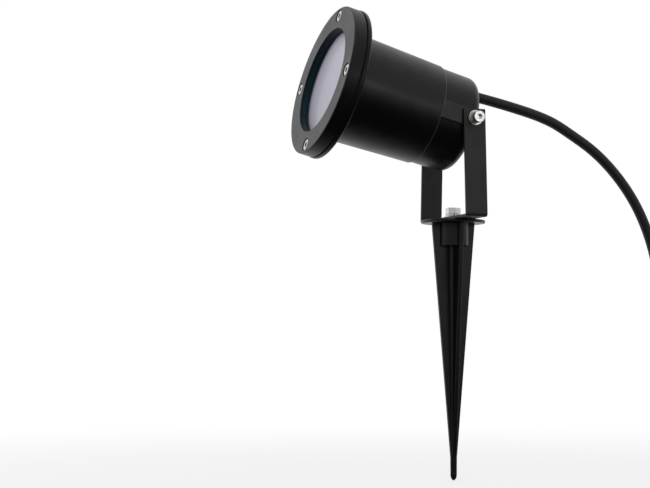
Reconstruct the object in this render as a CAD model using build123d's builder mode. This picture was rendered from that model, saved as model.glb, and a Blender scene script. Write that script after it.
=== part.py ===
from build123d import *
import math
import os

os.makedirs("parts", exist_ok=True)

# Garden spike spotlight: a die-cast GU10 head in a U-shaped yoke on a plastic ground spike,
# with its lead coiled on the floor.
# Frame: origin on the spike axis at the underside of its flange (the soil line), +Z up,
# the light leaves towards -Y and up, the tilt axis runs along X.
# On the head, s is measured forward along its axis from the tilt axis, and r out from it.

# ---------------------------------------------------------------- driving dimensions (mm)
HEAD_TILT = 15.0        # head axis above the horizontal as posed, degrees
PIVOT_H = 61.0          # tilt axis above the spike flange's underside
FIT = 0.03              # gap between parts that fit closely
STACK_GAP = 0.05        # gap between parts stacked under the yoke bolt and tilt screws

# fasteners
M5_R = 2.5
M4_R = 2.0
M4_TAP_R = M4_R + FIT
M4_HEAD_R = 3.5
M4_HEAD_H = 4.0
M4_KEY = 3.0            # hexagon socket, across flats
M4_KEY_DEPTH = 2.2
M3_R = 1.5
M3_TAP_R = M3_R + FIT

# ground spike
SPIKE_FLANGE_R = 19.5
SPIKE_FLANGE_T = 2.0
SPIKE_BOSS_R = 9.25
SPIKE_BOSS_L = 13.6
SPIKE_FIN_T = 2.5
SPIKE_FIN_TOP_R = 14.0
SPIKE_FIN_END_R = 2.2
SPIKE_FIN_END_Z = -138.0
SPIKE_CORE_R = 1.95
SPIKE_TIP_Z = -155.7
INSERT_BORE_R = 3.55
INSERT_BORE_TOP_Z = -1.0
INSERT_Z = -12.0        # underside of the brass insert

# yoke strap
YOKE_W = 13.8
YOKE_T = 1.5
YOKE_BASE_Z = SPIKE_FLANGE_T + STACK_GAP    # underside of the strap
YOKE_TOP_Z = 66.6
YOKE_IN_TOP = 30.35     # inner face of each arm at its top
YOKE_TOE = 3.0          # each arm leans out by this much at the bottom
YOKE_HOLE_R = 2.08      # tilt screw hole
YOKE_BASE_HOLE_R = 2.58

# casing and bezel
S_REAR = -4.3
S_STEP = 20.4
S_FLANGE = 76.7
S_SEAT = 78.2
S_CASING_FRONT = 79.7
S_BEZEL_REAR = 80.5
S_LIP = 83.5
S_BEZEL_FRONT = 88.3
R_REAR_END = 29.7
R_REAR_STEP = 30.0
R_BARREL_STEP = 30.9
R_BARREL_FLANGE = 33.0
R_FLANGE = 46.3
R_BEZEL = 46.0
R_OPENING = 32.2
R_POCKET = 36.9
CASING_IN_REAR = 27.0
REAR_WALL = 3.2
S_WALL_IN = S_REAR + REAR_WALL      # inner face of the rear wall
PAD_X = 30.3            # flat face of the side pads, on which the yoke arms bear
PAD_HALF_W = 5.5
PAD_REAR = -3.4         # the pads stop here, just inside the rear face
PAD_FRONT = S_STEP + 0.8
BEZEL_SCREW_R = 40.65   # pitch radius of the four bezel screws
BEZEL_CBORE_DEPTH = 4.4
GLASS_R = 35.6
GLASS_BACK = 79.2
GLASS_FRONT = 82.7

# inside the casing
POST_R = 3.4
POST_ROOT = 0.5         # the posts start this far inside the rear wall
S_POST = 11.65          # top of the bracket posts
S_EARTH = 4.0           # top of the earth post
EARTH_Y = -16.0
S_CLAMP = 0.4           # rear face of the cable clamp
S_SHEATH_END = 5.0

# tilt screw stack, measured out from the middle plane
X_BOSS = 21.2           # inner end of the casing's screw bosses
X_SHANK = 22.95         # inner end of the screws
X_FLAT = 32.4           # inner face of the flat washers
FLAT_WASHER_T = 1.0
X_SPRING = X_FLAT + FLAT_WASHER_T + STACK_GAP
X_HEAD = 35.15          # underside of the screw heads

# cable
CABLE_R = 3.2
CABLE_Y = 20.8          # exit hole above the head axis
CABLE_HOLE_R = 4.4
CORE_R = 1.1            # insulated core
STRAND_R = 0.65         # bare copper
CORE_GAP = 0.05         # from the cut sheath to the start of each core
TAIL_SPLIT_R = 38.0     # the cable is divided on a cylinder of this radius about the tilt axis
TAIL_HALF_GAP = 0.04
FLOOR_Z = -152.45       # cable centre where the lead lies on the floor
COIL_C = (30.0, 214.0)
COIL_R = 65.0
COIL_PITCH = 9.5
COIL_STEP = 52          # degrees of coil per arc
COIL_TURN = 468         # degrees of coil in all
TURN_IN_R = 20.0        # last arc, which leads in from the coil
TURN_IN_ANGLE = 85.0

# ---------------------------------------------------------------- working planes
cos_tilt = math.cos(math.radians(HEAD_TILT))
sin_tilt = math.sin(math.radians(HEAD_TILT))
PIVOT = (0, 0, PIVOT_H)
FORWARD = (0, -cos_tilt, sin_tilt)      # along the head axis
BACKWARD = (0, cos_tilt, -sin_tilt)
HEAD_UP = (0, sin_tilt, cos_tilt)
HEAD_DOWN = (0, -sin_tilt, -cos_tilt)
HEAD = Plane(origin=PIVOT, x_dir=(1, 0, 0), z_dir=FORWARD)
HEAD_PROFILE = Plane(origin=PIVOT, x_dir=FORWARD, z_dir=(-1, 0, 0))     # local (s, r)
HEAD_AXIS = Axis(PIVOT, FORWARD)
SIDE = Plane(origin=PIVOT, x_dir=FORWARD, z_dir=(1, 0, 0))      # square to the tilt axis

# places on the head, (across, up)
QUARTERS = [(BEZEL_SCREW_R, 0), (0, BEZEL_SCREW_R), (-BEZEL_SCREW_R, 0), (0, -BEZEL_SCREW_R)]
POSTS = [(13.4, 13.4), (-13.4, -13.4)]          # holder bracket posts
HOLDER_SCREWS = [(7.07, 7.07), (-7.07, -7.07)]
CONTACT_X = 5.0
CONTACTS = [(CONTACT_X, 0), (-CONTACT_X, 0)]    # lamp pins and their contacts


def head_pt(x, y, s):
    """A point given across, above and along the head axis."""
    return (x, y * sin_tilt - s * cos_tilt, PIVOT_H + y * cos_tilt + s * sin_tilt)


def side_plane(side, distance, x_dir=(0, 1, 0)):
    """A plane on the tilt axis that faces out to one side (1 or -1)."""
    return Plane(origin=(side * distance, 0, PIVOT_H), x_dir=x_dir, z_dir=(side, 0, 0))


def save(builder, name):
    """Label a piece and write its file."""
    builder.part.label = name
    export_step(builder.part, f"parts/{name}.step")


def cross_screws(places, s_seat, s_tip, shank_length):
    """M3 pan screws along the head axis, each with a cross recess."""
    head_height = 2.0
    with BuildPart() as screws:
        with BuildSketch(HEAD.offset(s_seat)):
            with Locations(*places):
                Circle(2.75)
        extrude(amount=head_height)
        with BuildSketch(HEAD.offset(s_tip)):
            with Locations(*places):
                Circle(M3_R)
        extrude(amount=shank_length)
        with BuildSketch(HEAD.offset(s_seat + head_height)):
            with Locations(*places):
                Rectangle(3.4, 0.7, rotation=20)
                Rectangle(3.4, 0.7, rotation=110)
        extrude(amount=-1.1, mode=Mode.SUBTRACT)
    return screws


# ================================================================= ground spike
with BuildPart() as ground_spike:
    # round flange whose underside meets the soil
    with BuildSketch(Plane.XY):
        Circle(SPIKE_FLANGE_R)
    extrude(amount=SPIKE_FLANGE_T)
    fillet(ground_spike.edges().filter_by(GeomType.CIRCLE), radius=0.7)
    # boss that holds the threaded insert
    with BuildSketch(Plane.XY.offset(-SPIKE_BOSS_L)):
        Circle(SPIKE_BOSS_R)
    extrude(amount=SPIKE_BOSS_L + 0.5)
    # two crossed plates make the four tapering fins
    for fin_plane in (Plane.XZ, Plane.YZ):
        with BuildSketch(fin_plane):
            with BuildLine():
                Polyline(
                    (0, 0.5),
                    (SPIKE_FIN_TOP_R, 0.5),
                    (SPIKE_FIN_TOP_R, 0),
                    (SPIKE_FIN_END_R, SPIKE_FIN_END_Z),
                    (SPIKE_CORE_R - 0.3, SPIKE_FIN_END_Z - 6),
                    (0, SPIKE_FIN_END_Z - 6),
                    close=True,
                )
            make_face()
            mirror(about=Plane.YZ)
        extrude(amount=SPIKE_FIN_T / 2, both=True)
    # tapering core and rounded point
    with BuildSketch(Plane.XZ):
        with BuildLine():
            Polyline(
                (0, -1),
                (3.0, -1),
                (3.0, -16),
                (SPIKE_CORE_R + 0.15, SPIKE_FIN_END_Z),
                (SPIKE_CORE_R, SPIKE_TIP_Z + 3.4),
            )
            Spline(
                (SPIKE_CORE_R, SPIKE_TIP_Z + 3.4),
                (1.2, SPIKE_TIP_Z + 0.75),
                (0, SPIKE_TIP_Z),
                tangents=((0, -1), (-1, 0)),
            )
            Line((0, SPIKE_TIP_Z), (0, -1))
        make_face()
    revolve(axis=Axis.Z)
    # stepped bore: clearance for the bolt, seat for the insert, room under the insert
    with BuildSketch(Plane.XY.offset(SPIKE_FLANGE_T)):
        Circle(2.7)
    extrude(amount=-3.0, mode=Mode.SUBTRACT)
    with BuildSketch(Plane.XY.offset(INSERT_BORE_TOP_Z)):
        Circle(INSERT_BORE_R)
    extrude(amount=-11.05, mode=Mode.SUBTRACT)
    with BuildSketch(Plane.XY.offset(INSERT_Z)):
        Circle(1.9)
    extrude(amount=-1.2, mode=Mode.SUBTRACT)
    # soft edges along the outer ends of the fins
    fin_ends = [
        e for e in ground_spike.edges().filter_by(GeomType.LINE)
        if e.length > 100 and max(abs((e @ 0.5).X), abs((e @ 0.5).Y)) > 4
    ]
    fillet(fin_ends, radius=0.5)
save(ground_spike, "ground_spike")

# brass insert moulded into the spike's boss, with a groove round its waist
with BuildPart() as spike_insert:
    with BuildSketch(Plane.XY.offset(INSERT_Z)):
        Circle(INSERT_BORE_R - FIT)
        Circle(M5_R + FIT, mode=Mode.SUBTRACT)
    extrude(amount=10.95)
    with BuildSketch(Plane.XY.offset(-7.5)):
        Circle(3.6)
        Circle(3.1, mode=Mode.SUBTRACT)
    extrude(amount=1.6, mode=Mode.SUBTRACT)
save(spike_insert, "spike_insert")

# ================================================================= yoke bolt stack
BOLT_WASHER_Z = YOKE_BASE_Z + YOKE_T + STACK_GAP
BOLT_WASHER_T = 1.0
BOLT_WASHER_HOLE_R = 2.65
BOLT_SPRING_Z = BOLT_WASHER_Z + BOLT_WASHER_T + STACK_GAP
BOLT_SPRING_T = 1.35
BOLT_HEAD_Z = BOLT_SPRING_Z + BOLT_SPRING_T + STACK_GAP
BOLT_HEAD_H = 3.5
BOLT_FLATS = 8.0        # hexagon, across flats
BOLT_SHANK_L = 16.0

with BuildPart() as yoke_bolt:
    with BuildSketch(Plane.XY.offset(BOLT_HEAD_Z)):
        RegularPolygon(BOLT_FLATS / 2, 6, major_radius=False)
    extrude(amount=BOLT_HEAD_H)
    # turned chamfer on top of the hexagon
    with BuildSketch(Plane.XZ):
        with BuildLine():
            Polyline(
                (3.9, BOLT_HEAD_Z + 3.6),
                (5.2, BOLT_HEAD_Z + 3.6),
                (5.2, BOLT_HEAD_Z + 2.75),
                close=True,
            )
        make_face()
    revolve(axis=Axis.Z, mode=Mode.SUBTRACT)
    with BuildSketch(Plane.XY.offset(BOLT_HEAD_Z - BOLT_SHANK_L)):
        Circle(M5_R)
    extrude(amount=BOLT_SHANK_L)
    chamfer(yoke_bolt.faces().sort_by(Axis.Z)[0].edges(), length=0.6)
save(yoke_bolt, "yoke_bolt")

with BuildPart() as yoke_bolt_washer:
    with BuildSketch(Plane.XY.offset(BOLT_WASHER_Z)):
        Circle(5.0)
        Circle(BOLT_WASHER_HOLE_R, mode=Mode.SUBTRACT)
    extrude(amount=BOLT_WASHER_T)
save(yoke_bolt_washer, "yoke_bolt_washer")

# split spring washer, flattened by the tightened bolt
with BuildPart() as yoke_bolt_spring_washer:
    with BuildSketch(Plane.XY.offset(BOLT_SPRING_Z)):
        Circle(4.6)
        Circle(BOLT_WASHER_HOLE_R, mode=Mode.SUBTRACT)
        with Locations((3.7, 0)):
            Rectangle(3.0, 0.5, rotation=20, mode=Mode.SUBTRACT)
    extrude(amount=BOLT_SPRING_T)
save(yoke_bolt_spring_washer, "yoke_bolt_spring_washer")

# ================================================================= yoke
YOKE_IN_BOTTOM = YOKE_IN_TOP + YOKE_TOE

with BuildPart() as yoke_bracket:
    with BuildSketch(Plane.XZ):
        with BuildLine():
            Polyline(
                (0, YOKE_BASE_Z),
                (YOKE_IN_BOTTOM + YOKE_T, YOKE_BASE_Z),
                (YOKE_IN_TOP + YOKE_T, YOKE_TOP_Z),
                (YOKE_IN_TOP, YOKE_TOP_Z),
                (YOKE_IN_BOTTOM, YOKE_BASE_Z + YOKE_T),
                (0, YOKE_BASE_Z + YOKE_T),
                close=True,
            )
        make_face()
        mirror(about=Plane.YZ)
    extrude(amount=YOKE_W / 2, both=True)
    # bends
    outer_bend = [
        e for e in yoke_bracket.edges().filter_by(Axis.Y)
        if abs((e @ 0.5).Z - YOKE_BASE_Z) < 0.01 and abs((e @ 0.5).X) > 5
    ]
    inner_bend = [
        e for e in yoke_bracket.edges().filter_by(Axis.Y)
        if abs((e @ 0.5).Z - YOKE_BASE_Z - YOKE_T) < 0.01 and abs((e @ 0.5).X) > 5
    ]
    fillet(outer_bend, radius=2.0)
    fillet(inner_bend, radius=0.6)
    # corners at the top of each arm
    arm_corners = [
        e for e in yoke_bracket.edges().filter_by(Axis.X)
        if abs((e @ 0.5).Z - YOKE_TOP_Z) < 0.01
    ]
    fillet(arm_corners, radius=0.6)
    # tilt screw holes, then the bolt hole in the base
    with BuildSketch(SIDE):
        Circle(YOKE_HOLE_R)
    extrude(amount=40, both=True, mode=Mode.SUBTRACT)
    with BuildSketch(Plane.XY):
        Circle(YOKE_BASE_HOLE_R)
    extrude(amount=6, mode=Mode.SUBTRACT)
save(yoke_bracket, "yoke_bracket")

# ================================================================= tilt screws and washers
with BuildPart() as tilt_screws:
    for side in (1, -1):
        with BuildSketch(side_plane(side, X_SHANK)):
            Circle(M4_R)
        extrude(amount=X_HEAD - X_SHANK)
        with BuildSketch(side_plane(side, X_HEAD)):
            Circle(M4_HEAD_R)
        extrude(amount=M4_HEAD_H)
        with BuildSketch(side_plane(side, X_HEAD + M4_HEAD_H)):
            RegularPolygon(M4_KEY / 2, 6, major_radius=False, rotation=10)
        extrude(amount=-M4_KEY_DEPTH, mode=Mode.SUBTRACT)
    head_rims = [
        e for e in tilt_screws.edges().filter_by(GeomType.CIRCLE)
        if abs(e.radius - M4_HEAD_R) < 0.01
        and abs(abs(e.arc_center.X) - X_HEAD - M4_HEAD_H) < 0.01
    ]
    fillet(head_rims, radius=0.4)
save(tilt_screws, "tilt_screws")

with BuildPart() as tilt_flat_washers:
    for side in (1, -1):
        with BuildSketch(side_plane(side, X_FLAT)):
            Circle(4.5)
            Circle(2.15, mode=Mode.SUBTRACT)
        extrude(amount=FLAT_WASHER_T)
save(tilt_flat_washers, "tilt_flat_washers")

# split spring washers: one open turn of rectangular wire, its ends sprung apart
SPRING_PITCH = 0.55
SPRING_TURNS = 0.955
with BuildPart() as tilt_spring_washers:
    for side in (1, -1):
        with BuildLine() as coil_line:
            Helix(
                pitch=SPRING_PITCH,
                height=SPRING_PITCH * SPRING_TURNS,
                radius=3.15,
                center=(side * (X_SPRING + 0.56), 0, PIVOT_H),
                direction=(side, 0, 0),
            )
        wire = coil_line.line
        with BuildSketch(Plane(origin=wire @ 0, x_dir=(side, 0, 0), z_dir=wire % 0)):
            Rectangle(1.05, 1.7)
        sweep(is_frenet=True)
save(tilt_spring_washers, "tilt_spring_washers")

# ================================================================= lamp casing
with BuildPart() as lamp_casing:
    # outside of the casting, solid for now
    with BuildSketch(HEAD_PROFILE) as casing_profile:
        with BuildLine():
            Polyline(
                (S_REAR, 0),
                (S_REAR, R_REAR_END),
                (S_STEP, R_REAR_STEP),
                (S_STEP, R_BARREL_STEP),
                (S_FLANGE, R_BARREL_FLANGE),
                (S_FLANGE, R_FLANGE),
                (S_CASING_FRONT, R_FLANGE),
                (S_CASING_FRONT, 0),
                close=True,
            )
        make_face()
        for corner, round_radius in (
            ((S_REAR, R_REAR_END), 5.5),
            ((S_STEP, R_BARREL_STEP), 0.55),
            ((S_FLANGE, R_BARREL_FLANGE), 1.3),
            ((S_FLANGE, R_FLANGE), 1.7),
            ((S_CASING_FRONT, R_FLANGE), 0.4),
        ):
            fillet(casing_profile.vertices().sort_by_distance(corner)[0], radius=round_radius)
    revolve(axis=HEAD_AXIS)
    # side pads, a little proud of the barrel, on which the yoke arms bear
    with BuildSketch(SIDE):
        with Locations(((PAD_FRONT + PAD_REAR) / 2, 0)):
            Rectangle(PAD_FRONT - PAD_REAR, 2 * PAD_HALF_W)
    extrude(amount=PAD_X, both=True)
    # cavity
    with BuildSketch(HEAD_PROFILE) as cavity_profile:
        with BuildLine():
            Polyline(
                (S_CASING_FRONT + 1, 0),
                (S_CASING_FRONT + 1, R_POCKET),
                (S_SEAT, R_POCKET),
                (S_SEAT, 30.3),
                (S_STEP, 28.2),
                (S_STEP - 2, CASING_IN_REAR),
                (S_WALL_IN, CASING_IN_REAR),
                (S_WALL_IN, 0),
                close=True,
            )
        make_face()
        fillet(
            cavity_profile.vertices().sort_by_distance((S_WALL_IN, CASING_IN_REAR))[0],
            radius=1.0,
        )
    revolve(axis=HEAD_AXIS, mode=Mode.SUBTRACT)
    # bosses for the tilt screws, tapped from near their inner ends outwards
    boss_planes = [side_plane(side, X_BOSS, FORWARD) for side in (1, -1)]
    for boss_plane in boss_planes:
        with BuildSketch(boss_plane):
            Circle(3.8)
        extrude(amount=7.0)
    for boss_plane in boss_planes:
        with BuildSketch(boss_plane.offset(1.4)):
            Circle(M4_TAP_R)
        extrude(amount=10, mode=Mode.SUBTRACT)
    # posts on the rear wall: two for the holder bracket, one for the earth screw
    for places, s_top, tap_depth in ((POSTS, S_POST, 8.5), ([(0, EARTH_Y)], S_EARTH, 5.8)):
        with BuildSketch(HEAD.offset(S_WALL_IN - POST_ROOT)):
            with Locations(*places):
                Circle(POST_R)
        extrude(amount=s_top - S_WALL_IN + POST_ROOT)
        with BuildSketch(HEAD.offset(s_top)):
            with Locations(*places):
                Circle(M3_TAP_R)
        extrude(amount=-tap_depth, mode=Mode.SUBTRACT)
    # cable hole in the rear wall
    with BuildSketch(HEAD.offset(S_REAR - 1)):
        with Locations((0, CABLE_Y)):
            Circle(CABLE_HOLE_R)
    extrude(amount=REAR_WALL + 2, mode=Mode.SUBTRACT)
    # tapped holes for the bezel screws
    with BuildSketch(HEAD.offset(S_FLANGE - 1)):
        with Locations(*QUARTERS):
            Circle(M4_TAP_R)
    extrude(amount=6, mode=Mode.SUBTRACT)
save(lamp_casing, "lamp_casing")

# ================================================================= bezel, glass and seals
with BuildPart() as bezel_ring:
    with BuildSketch(HEAD_PROFILE) as bezel_profile:
        with BuildLine():
            Polyline(
                (S_BEZEL_REAR, R_POCKET),
                (S_BEZEL_REAR, R_BEZEL),
                (S_BEZEL_FRONT, R_BEZEL),
                (S_BEZEL_FRONT, R_OPENING),
                (S_LIP, R_OPENING),
                (S_LIP, R_POCKET),
                close=True,
            )
        make_face()
        for corner, round_radius in (
            ((S_BEZEL_FRONT, R_BEZEL), 0.9),
            ((S_BEZEL_REAR, R_BEZEL), 0.5),
            ((S_BEZEL_FRONT, R_OPENING), 0.5),
        ):
            fillet(bezel_profile.vertices().sort_by_distance(corner)[0], radius=round_radius)
    revolve(axis=HEAD_AXIS)
    # screw holes, counterbored for the heads
    with BuildSketch(HEAD.offset(S_BEZEL_REAR - 1)):
        with Locations(*QUARTERS):
            Circle(2.25)
    extrude(amount=12, mode=Mode.SUBTRACT)
    with BuildSketch(HEAD.offset(S_BEZEL_FRONT - BEZEL_CBORE_DEPTH)):
        with Locations(*QUARTERS):
            Circle(4.0)
    extrude(amount=6, mode=Mode.SUBTRACT)
save(bezel_ring, "bezel_ring")

S_BEZEL_HEAD = S_BEZEL_FRONT - BEZEL_CBORE_DEPTH + FIT      # underside of the screw heads
S_BEZEL_HEAD_TOP = S_BEZEL_HEAD + M4_HEAD_H
with BuildPart() as bezel_screws:
    with BuildSketch(HEAD.offset(77.0)):
        with Locations(*QUARTERS):
            Circle(M4_R)
    extrude(amount=6.95)
    with BuildSketch(HEAD.offset(S_BEZEL_HEAD)):
        with Locations(*QUARTERS):
            Circle(M4_HEAD_R)
    extrude(amount=M4_HEAD_H)
    head_rims = [
        e for e in bezel_screws.edges().filter_by(GeomType.CIRCLE)
        if abs(e.radius - M4_HEAD_R) < 0.01
        and abs(HEAD.to_local_coords(e.arc_center).Z - S_BEZEL_HEAD_TOP) < 0.01
    ]
    fillet(head_rims, radius=0.4)
    # sockets, each left at a different angle
    with BuildSketch(HEAD.offset(S_BEZEL_HEAD_TOP)):
        for index, place in enumerate(QUARTERS):
            with Locations(place):
                RegularPolygon(M4_KEY / 2, 6, major_radius=False, rotation=17 * index + 5)
    extrude(amount=-M4_KEY_DEPTH, mode=Mode.SUBTRACT)
save(bezel_screws, "bezel_screws")

with BuildPart() as front_glass:
    with BuildSketch(HEAD.offset(GLASS_BACK)):
        Circle(GLASS_R)
    extrude(amount=GLASS_FRONT - GLASS_BACK)
    chamfer(front_glass.edges().filter_by(GeomType.CIRCLE), length=0.3)
save(front_glass, "front_glass")

# silicone channel folded round the edge of the glass
GASKET_REAR_IN_R = 31.2
GASKET_FRONT_IN_R = 31.5
GASKET_SIDE_GAP = 0.05
with BuildPart() as glass_gasket:
    with BuildSketch(HEAD_PROFILE):
        with BuildLine():
            Polyline(
                (S_SEAT + FIT, GASKET_REAR_IN_R),
                (S_SEAT + FIT, R_POCKET - GASKET_SIDE_GAP),
                (S_LIP - FIT, R_POCKET - GASKET_SIDE_GAP),
                (S_LIP - FIT, GASKET_FRONT_IN_R),
                (GLASS_FRONT + FIT, GASKET_FRONT_IN_R),
                (GLASS_FRONT + FIT, GLASS_R + GASKET_SIDE_GAP),
                (GLASS_BACK - FIT, GLASS_R + GASKET_SIDE_GAP),
                (GLASS_BACK - FIT, GASKET_REAR_IN_R),
                close=True,
            )
        make_face()
    revolve(axis=HEAD_AXIS)
save(glass_gasket, "glass_gasket")

# flat seal between the casing flange and the bezel
with BuildPart() as flange_gasket:
    with BuildSketch(HEAD.offset(S_CASING_FRONT + FIT)):
        Circle(44.9)
        Circle(R_POCKET + 0.3, mode=Mode.SUBTRACT)
        with Locations(*QUARTERS):
            Circle(2.4, mode=Mode.SUBTRACT)
    extrude(amount=S_BEZEL_REAR - S_CASING_FRONT - 2 * FIT)
save(flange_gasket, "flange_gasket")

# ================================================================= lamp holder group
S_BRACKET = 11.72
BRACKET_T = 1.2
S_HOLDER = 13.0
S_CHAMBER = 17.5        # rear of the chambers for the pin heads
S_PLATE = 24.3          # rear of the holder's front plate
S_HOLDER_FRONT = 28.6
HOLDER_CBORE_DEPTH = 2.6
TWIST = 25.0            # bayonet twist of the lamp, degrees

with BuildPart() as holder_bracket:
    with BuildSketch(HEAD.offset(S_BRACKET)):
        Rectangle(45.0, 13.0, rotation=45.0)
        with Locations(*POSTS):
            Circle(1.7, mode=Mode.SUBTRACT)
        with Locations(*CONTACTS):
            Circle(1.8, mode=Mode.SUBTRACT)
        with Locations(*HOLDER_SCREWS):
            Circle(M3_TAP_R, mode=Mode.SUBTRACT)
    extrude(amount=BRACKET_T)
    # the four outer corners
    fillet(
        [
            e for e in holder_bracket.edges()
            if abs(e.length - BRACKET_T) < 0.01 and e.geom_type == GeomType.LINE
            and HEAD.to_local_coords(e @ 0.5).length > 22
        ],
        radius=1.5,
    )
save(holder_bracket, "holder_bracket")

bracket_screws = cross_screws(
    POSTS, s_seat=S_BRACKET + BRACKET_T + FIT, s_tip=4.0, shank_length=9.0
)
save(bracket_screws, "bracket_screws")

with BuildPart() as lamp_holder:
    with BuildSketch(HEAD.offset(S_HOLDER)):
        Circle(13.0)
    extrude(amount=S_HOLDER_FRONT - S_HOLDER)
    chamfer(lamp_holder.edges().filter_by(GeomType.CIRCLE), length=0.6)
    # neck slots in the front plate, with a round entry at one end
    with BuildSketch(HEAD.offset(S_PLATE)):
        for start in (0.0, 180.0):
            with BuildLine(mode=Mode.PRIVATE) as slot_line:
                CenterArc((0, 0), CONTACT_X, start, TWIST)
            SlotArc(slot_line.edge(), 3.0)
            entry = math.radians(start + TWIST)
            with Locations((CONTACT_X * math.cos(entry), CONTACT_X * math.sin(entry))):
                Circle(2.7)
    extrude(amount=6, mode=Mode.SUBTRACT)
    # wider chambers behind for the pin heads
    with BuildSketch(HEAD.offset(S_CHAMBER)):
        for start in (0.0, 180.0):
            with BuildLine(mode=Mode.PRIVATE) as slot_line:
                CenterArc((0, 0), CONTACT_X, start, TWIST)
            SlotArc(slot_line.edge(), 5.6)
    extrude(amount=S_PLATE - S_CHAMBER, mode=Mode.SUBTRACT)
    # wire holes, then screw holes with counterbores
    with BuildSketch(HEAD.offset(S_HOLDER - 1)):
        with Locations(*CONTACTS):
            Circle(1.5)
    extrude(amount=6, mode=Mode.SUBTRACT)
    with BuildSketch(HEAD.offset(S_HOLDER - 1)):
        with Locations(*HOLDER_SCREWS):
            Circle(1.7)
    extrude(amount=20, mode=Mode.SUBTRACT)
    with BuildSketch(HEAD.offset(S_HOLDER_FRONT - HOLDER_CBORE_DEPTH)):
        with Locations(*HOLDER_SCREWS):
            Circle(2.35)
    extrude(amount=4, mode=Mode.SUBTRACT)
save(lamp_holder, "lamp_holder")

# slotted screws from the front of the holder into the bracket
S_HOLDER_HEAD = S_HOLDER_FRONT - HOLDER_CBORE_DEPTH + FIT
HOLDER_HEAD_H = 2.0
with BuildPart() as holder_screws:
    with BuildSketch(HEAD.offset(10.9)):
        with Locations(*HOLDER_SCREWS):
            Circle(M3_R)
    extrude(amount=15.2)
    with BuildSketch(HEAD.offset(S_HOLDER_HEAD)):
        with Locations(*HOLDER_SCREWS):
            Circle(2.25)
    extrude(amount=HOLDER_HEAD_H)
    with BuildSketch(HEAD.offset(S_HOLDER_HEAD + HOLDER_HEAD_H)):
        with Locations(*HOLDER_SCREWS):
            Rectangle(4.6, 0.7, rotation=30)
    extrude(amount=-0.8, mode=Mode.SUBTRACT)
save(holder_screws, "holder_screws")

# contacts in the holder, each with a crimp barrel behind it for its core
S_CONTACT = 21.0
S_CONTACT_BARREL = 18.2
with BuildPart() as holder_contacts:
    with BuildSketch(HEAD.offset(S_CONTACT)):
        with Locations(*CONTACTS):
            Circle(1.9)
    extrude(amount=1.0)
    with BuildSketch(HEAD.offset(S_CONTACT_BARREL)):
        with Locations(*CONTACTS):
            Circle(1.35)
    extrude(amount=S_CONTACT - S_CONTACT_BARREL)
    contact_rims = holder_contacts.edges().filter_by(GeomType.CIRCLE)
    fillet(contact_rims.filter_by(lambda e: e.radius > 1.8), radius=0.3)
save(holder_contacts, "holder_contacts")

# ================================================================= GU10 lamp
# The outlines of the shell, lens and base are lists of (s, r).
with BuildPart() as lamp_shell:
    with BuildSketch(HEAD_PROFILE):
        with BuildLine():
            # rim and outer face, back to the neck
            Polyline((75.6, 23.95), (75.6, 25.0), (71.5, 25.0))
            Spline(
                (71.5, 25.0), (60.0, 21.9), (48.6, 15.0),
                tangents=((-1, 0), (-0.9, -0.75)),
            )
            # neck, then the inner face and lens seat
            Polyline((48.6, 15.0), (46.6, 15.0), (46.6, 12.0), (48.2, 12.0), (48.2, 13.3))
            Spline(
                (48.2, 13.3), (60.2, 20.5), (71.5, 23.6),
                tangents=((0.9, 0.75), (1, 0)),
            )
            Polyline((71.5, 23.6), (72.6, 23.6), (72.6, 23.95), (75.6, 23.95))
        make_face()
    revolve(axis=HEAD_AXIS)
save(lamp_shell, "lamp_shell")

# lens: flat behind, domed in front
with BuildPart() as lamp_lens:
    with BuildSketch(HEAD_PROFILE):
        with BuildLine():
            Polyline((72.65, 0), (72.65, 23.9), (74.6, 23.9))
            Spline((74.6, 23.9), (75.3, 14.0), (75.5, 0), tangents=((0.35, -1), (0, -1)))
            Line((75.5, 0), (72.65, 0))
        make_face()
    revolve(axis=HEAD_AXIS)
save(lamp_lens, "lamp_lens")

# aluminium board, with one light-emitting chip in the middle and six round it
S_BOARD = 53.0
BOARD_T = 1.6
CHIP_W = 3.0
with BuildPart() as lamp_led_board:
    with BuildSketch(HEAD.offset(S_BOARD)):
        Circle(15.2)
    extrude(amount=BOARD_T)
save(lamp_led_board, "lamp_led_board")

with BuildPart() as lamp_led_chips:
    with BuildSketch(HEAD.offset(S_BOARD + BOARD_T + FIT)):
        with PolarLocations(9.5, 6):
            Rectangle(CHIP_W, CHIP_W)
        Rectangle(CHIP_W, CHIP_W)
    extrude(amount=0.8)
save(lamp_led_chips, "lamp_led_chips")

with BuildPart() as lamp_base:
    with BuildSketch(HEAD_PROFILE):
        with BuildLine():
            Polyline(
                (29.1, 0), (29.1, 10.6), (30.3, 11.8), (43.0, 12.4),
                (44.6, 14.6), (46.5, 14.6), (46.5, 11.9),
                (52.9, 11.9), (52.9, 10.4), (35.5, 10.0), (35.5, 0),
                close=True,
            )
        make_face()
    revolve(axis=HEAD_AXIS)
    # pin holes
    with BuildSketch(HEAD.offset(29.0)):
        with Locations(*CONTACTS):
            Circle(1.3)
    extrude(amount=5, mode=Mode.SUBTRACT)
save(lamp_base, "lamp_base")

# pins with wide rounded heads at the rear
with BuildPart() as lamp_pins:
    with BuildSketch(HEAD.offset(22.1)):
        with Locations(*CONTACTS):
            Circle(2.45)
    extrude(amount=1.95)
    fillet(lamp_pins.edges().filter_by(GeomType.CIRCLE), radius=0.35)
    with BuildSketch(HEAD.offset(23.5)):
        with Locations(*CONTACTS):
            Circle(1.25)
    extrude(amount=10.4)
save(lamp_pins, "lamp_pins")

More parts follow.
